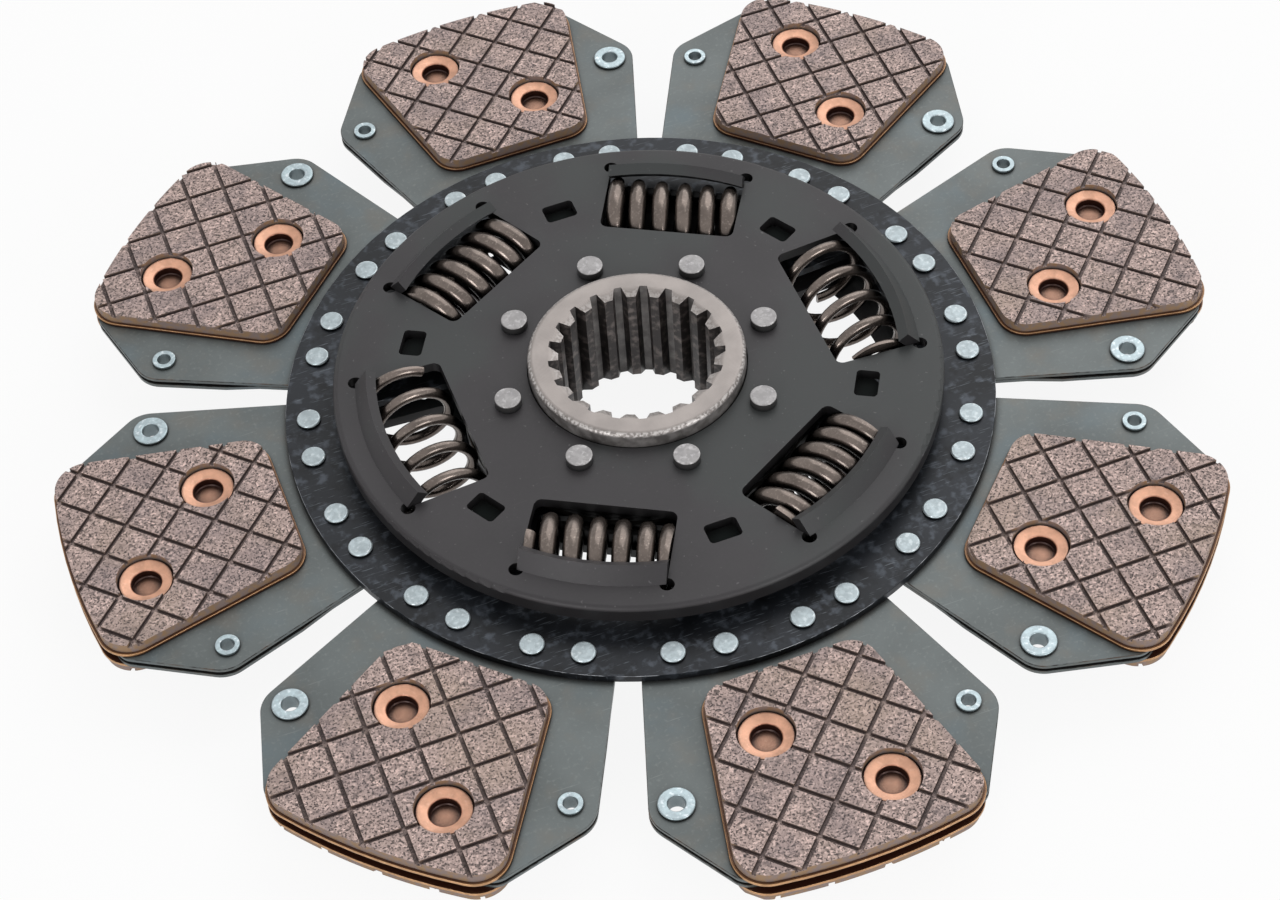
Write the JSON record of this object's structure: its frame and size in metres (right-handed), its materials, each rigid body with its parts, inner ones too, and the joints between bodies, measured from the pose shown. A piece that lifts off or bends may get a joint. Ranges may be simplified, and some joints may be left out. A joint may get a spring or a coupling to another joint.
{
  "type": "clutch disc",
  "caption": "Clutch disc with sintered pads on sprung paddles, riveted drive disc, coil-spring torsion damper under pressed side plates and a splined hub.",
  "frame": {"origin": "on the disc's axis, in the middle plane of the drive disc", "axes": "+Z along the axis, out of the front face; +X along the middle of the first paddle"},
  "size_m": [0.3492, 0.3492, 0.038],
  "materials": {
    "hub_steel": "machined faces, oiled",
    "rivet_zinc": "zinc plated, flat pressed",
    "plate_coating": "satin phosphate and oil",
    "blued_disc_steel": "hardened, blue-black, worn",
    "spring_steel": "heat tinted, dull",
    "copper_backing": "copper plated",
    "sintered_friction": "sintered bronze and ceramic, granular",
    "copper_rivet": "copper plated, dull",
    "eyelet_zinc": "zinc plated",
    "spring_wire": "oil tempered",
    "bearing_plastic": "moulded, glass filled",
    "washer_fibre": "pressed fibre",
    "ring_steel": "bare"
  },
  "bodies": {
    "hub_and_side_plates": {"hub": "hub_steel", "hub_rivets": "rivet_zinc", "front_side_plate": "plate_coating", "rear_side_plate": "plate_coating", "support_plate": "ring_steel", "rear_thrust_ring": "ring_steel", "disc_spring": "ring_steel", "pressure_ring": "ring_steel"},
    "drive_disc_and_paddles": {"bearing_ring": "bearing_plastic", "drive_disc": "blued_disc_steel", "drive_rivets": "rivet_zinc", "front_backing_plates": "copper_backing", "front_friction_washer": "washer_fibre", "front_pad_1": "sintered_friction", "front_pad_2": "sintered_friction", "front_pad_3": "sintered_friction", "front_pad_4": "sintered_friction", "front_pad_5": "sintered_friction", "front_pad_6": "sintered_friction", "front_pad_7": "sintered_friction", "front_pad_8": "sintered_friction", "front_pad_rivets": "copper_rivet", "front_segment_1": "spring_steel", "front_segment_2": "spring_steel", "front_segment_3": "spring_steel", "front_segment_4": "spring_steel", "front_segment_5": "spring_steel", "front_segment_6": "spring_steel", "front_segment_7": "spring_steel", "front_segment_8": "spring_steel", "large_eyelets": "eyelet_zinc", "rear_backing_plates": "copper_backing", "rear_friction_washer": "washer_fibre", "rear_pad_1": "sintered_friction", "rear_pad_2": "sintered_friction", "rear_pad_3": "sintered_friction", "rear_pad_4": "sintered_friction", "rear_pad_5": "sintered_friction", "rear_pad_6": "sintered_friction", "rear_pad_7": "sintered_friction", "rear_pad_8": "sintered_friction", "rear_pad_rivets": "copper_rivet", "rear_segment_1": "spring_steel", "rear_segment_2": "spring_steel", "rear_segment_3": "spring_steel", "rear_segment_4": "spring_steel", "rear_segment_5": "spring_steel", "rear_segment_6": "spring_steel", "rear_segment_7": "spring_steel", "rear_segment_8": "spring_steel", "small_eyelets": "eyelet_zinc"},
    "damper_springs": {"spring_1": "spring_wire", "spring_2": "spring_wire", "spring_3": "spring_wire", "spring_4": "spring_wire", "spring_5": "spring_wire", "spring_6": "spring_wire"}
  },
  "joints": [
    {"name": "damper_twist", "type": "hinge", "parent": "hub_and_side_plates", "child": "drive_disc_and_paddles", "pos_m": [0, 0, 0], "axis": [0, 0, 1], "range_deg": [-6, 6], "stiffness_Nm_per_rad": 2900, "deforming": ["spring_1", "spring_2", "spring_3", "spring_4", "spring_5", "spring_6"]},
    {"name": "spring_follow", "type": "hinge", "parent": "hub_and_side_plates", "child": "damper_springs", "pos_m": [0, 0, 0], "axis": [0, 0, 1], "range_deg": [-3, 3], "deforming": ["spring_1", "spring_2", "spring_3", "spring_4", "spring_5", "spring_6"]}
  ],
  "couplings": [
    {"joint": "spring_follow", "follows": "damper_twist", "ratio": 0.5}
  ]
}
